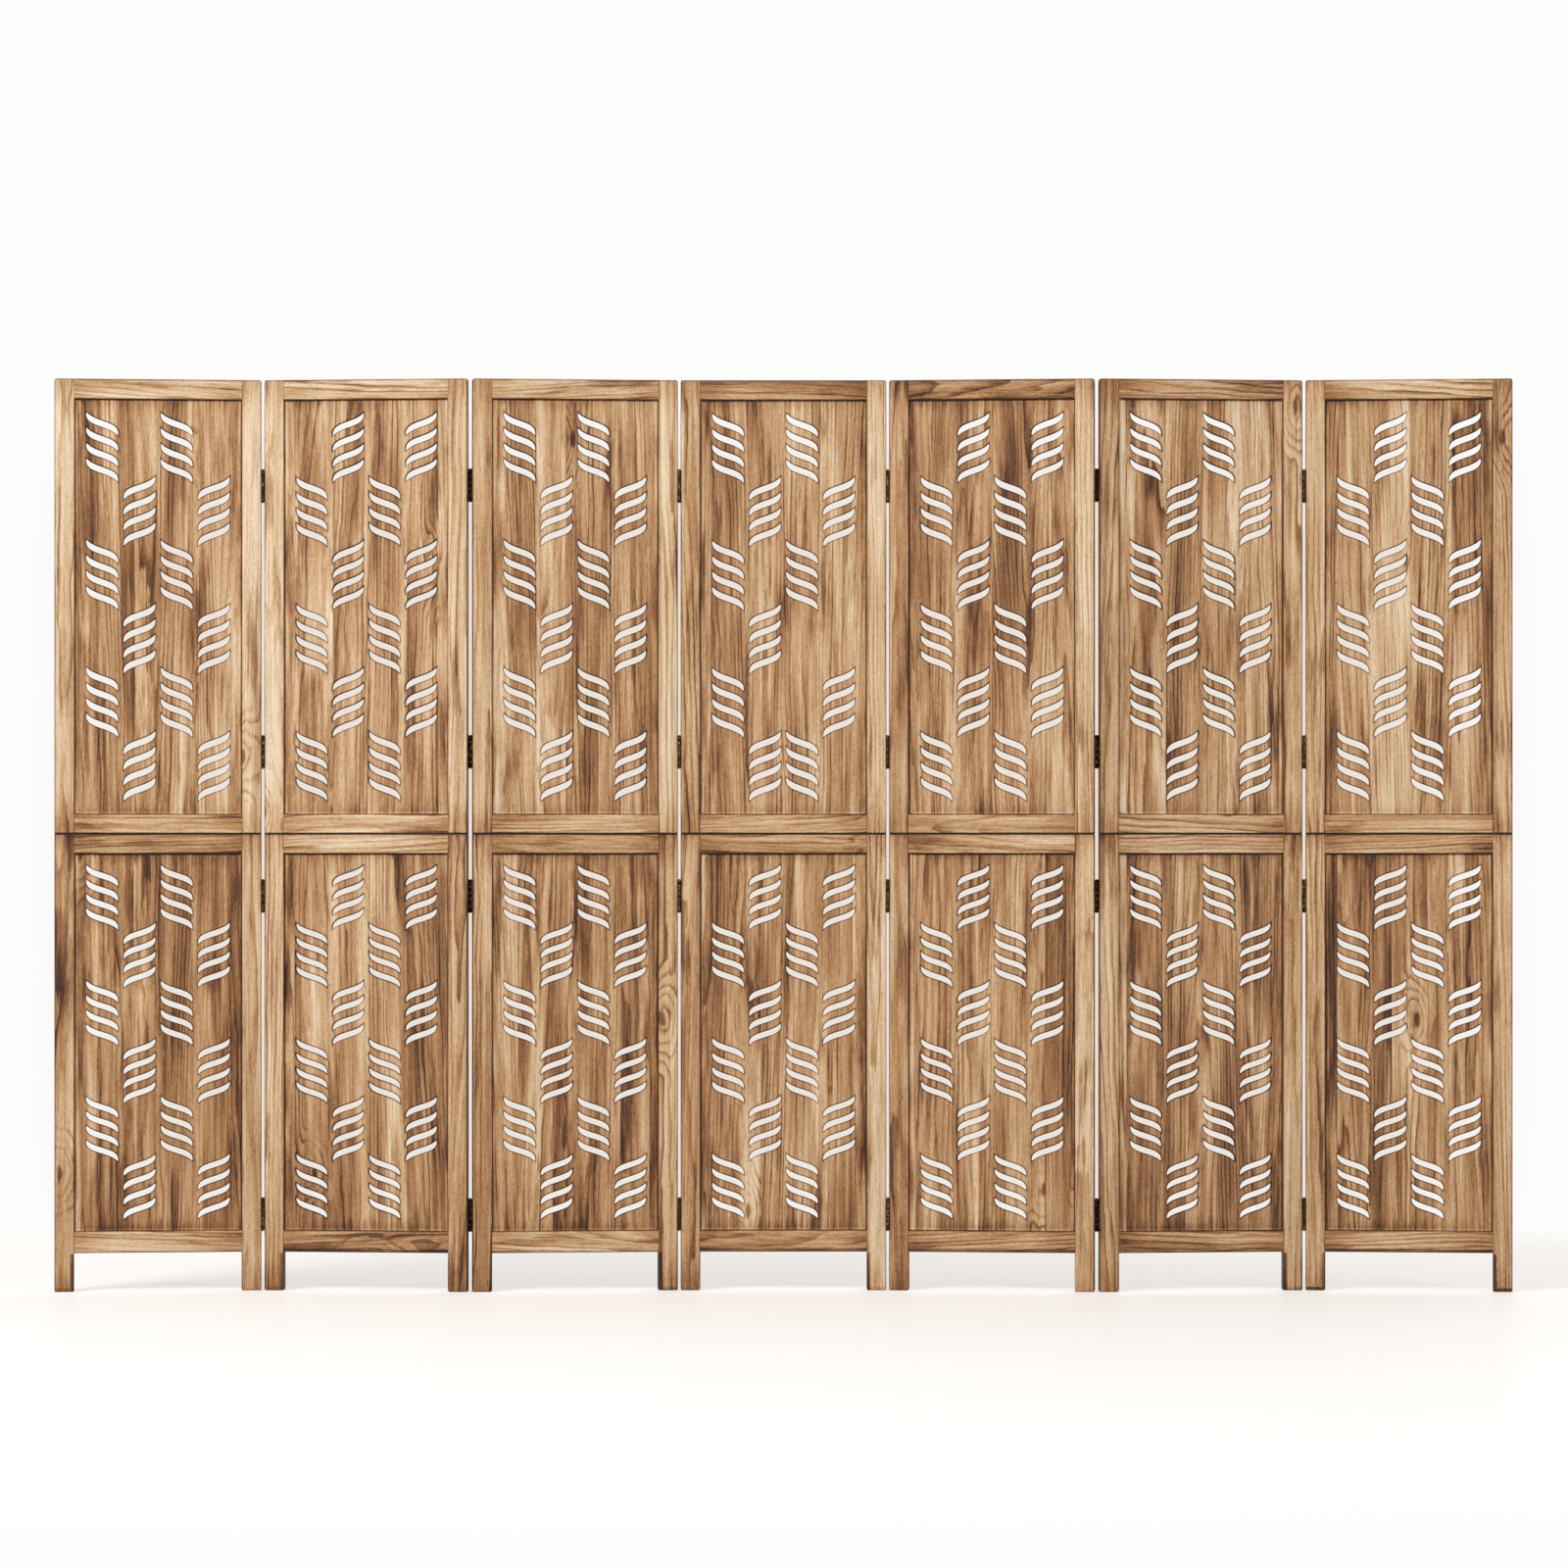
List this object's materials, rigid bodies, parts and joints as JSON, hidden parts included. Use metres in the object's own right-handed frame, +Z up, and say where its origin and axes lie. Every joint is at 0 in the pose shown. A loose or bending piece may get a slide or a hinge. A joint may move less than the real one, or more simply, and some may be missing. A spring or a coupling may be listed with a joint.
{
  "type": "folding room divider",
  "caption": "Freestanding folding wooden screen: hinged panels, each an upper and a lower frame on legs, with thin boards pierced by slanted pointed slots in alternating patterns.",
  "frame": {"origin": "bottom centre of the divider's box, standing as in the picture, on z = 0", "axes": "+X along the row of panels to the viewer's right, +Y away from the viewer, +Z up"},
  "size_m": [2.8296, 0.069, 1.77],
  "materials": {
    "frame_wood": "torched light wood with dark grain, thin clear satin coat",
    "board_wood": "torched light wood in glued vertical strips, darker at its edges",
    "hinge_metal": "dark bronze, semi-gloss"
  },
  "bodies": {
    "panel_1": {"panel_1_left_stiles": "frame_wood", "panel_1_right_stiles": "frame_wood", "panel_1_base_rail": "frame_wood", "panel_1_middle_rails": "frame_wood", "panel_1_top_rail": "frame_wood", "panel_1_lower_board": "board_wood", "panel_1_upper_board": "board_wood", "panel_1_hinges": "hinge_metal"},
    "panel_2": {"panel_2_left_stiles": "frame_wood", "panel_2_right_stiles": "frame_wood", "panel_2_base_rail": "frame_wood", "panel_2_middle_rails": "frame_wood", "panel_2_top_rail": "frame_wood", "panel_2_lower_board": "board_wood", "panel_2_upper_board": "board_wood", "panel_2_hinges": "hinge_metal"},
    "panel_3": {"panel_3_left_stiles": "frame_wood", "panel_3_right_stiles": "frame_wood", "panel_3_base_rail": "frame_wood", "panel_3_middle_rails": "frame_wood", "panel_3_top_rail": "frame_wood", "panel_3_lower_board": "board_wood", "panel_3_upper_board": "board_wood", "panel_3_hinges": "hinge_metal"},
    "panel_4": {"panel_4_left_stiles": "frame_wood", "panel_4_right_stiles": "frame_wood", "panel_4_base_rail": "frame_wood", "panel_4_middle_rails": "frame_wood", "panel_4_top_rail": "frame_wood", "panel_4_lower_board": "board_wood", "panel_4_upper_board": "board_wood", "panel_4_hinges": "hinge_metal"},
    "panel_5": {"panel_5_left_stiles": "frame_wood", "panel_5_right_stiles": "frame_wood", "panel_5_base_rail": "frame_wood", "panel_5_middle_rails": "frame_wood", "panel_5_top_rail": "frame_wood", "panel_5_lower_board": "board_wood", "panel_5_upper_board": "board_wood", "panel_5_hinges": "hinge_metal"},
    "panel_6": {"panel_6_left_stiles": "frame_wood", "panel_6_right_stiles": "frame_wood", "panel_6_base_rail": "frame_wood", "panel_6_middle_rails": "frame_wood", "panel_6_top_rail": "frame_wood", "panel_6_lower_board": "board_wood", "panel_6_upper_board": "board_wood", "panel_6_hinges": "hinge_metal"},
    "panel_7": {"panel_7_left_stiles": "frame_wood", "panel_7_right_stiles": "frame_wood", "panel_7_base_rail": "frame_wood", "panel_7_middle_rails": "frame_wood", "panel_7_top_rail": "frame_wood", "panel_7_lower_board": "board_wood", "panel_7_upper_board": "board_wood", "panel_7_hinges": "hinge_metal"}
  },
  "joints": [
    {"name": "hinges_3_4", "type": "hinge", "parent": "panel_4", "child": "panel_3", "pos_m": [-0.2025, 0.01204, 0.885], "axis": [0, 0, 1], "range_deg": [-12, 173]},
    {"name": "hinges_2_3", "type": "hinge", "parent": "panel_3", "child": "panel_2", "pos_m": [-0.60753, -0.01251, 0.885], "axis": [0, 0, -1], "range_deg": [-19, 166]},
    {"name": "hinges_1_2", "type": "hinge", "parent": "panel_2", "child": "panel_1", "pos_m": [-1.01256, 0.01204, 0.885], "axis": [0, 0, 1], "range_deg": [-19, 166]},
    {"name": "hinges_4_5", "type": "hinge", "parent": "panel_4", "child": "panel_5", "pos_m": [0.2025, 0.01204, 0.885], "axis": [0, 0, 1], "range_deg": [-173, 12]},
    {"name": "hinges_5_6", "type": "hinge", "parent": "panel_5", "child": "panel_6", "pos_m": [0.60753, -0.01251, 0.885], "axis": [0, 0, -1], "range_deg": [-166, 19]},
    {"name": "hinges_6_7", "type": "hinge", "parent": "panel_6", "child": "panel_7", "pos_m": [1.01256, 0.01204, 0.885], "axis": [0, 0, 1], "range_deg": [-166, 19]}
  ]
}
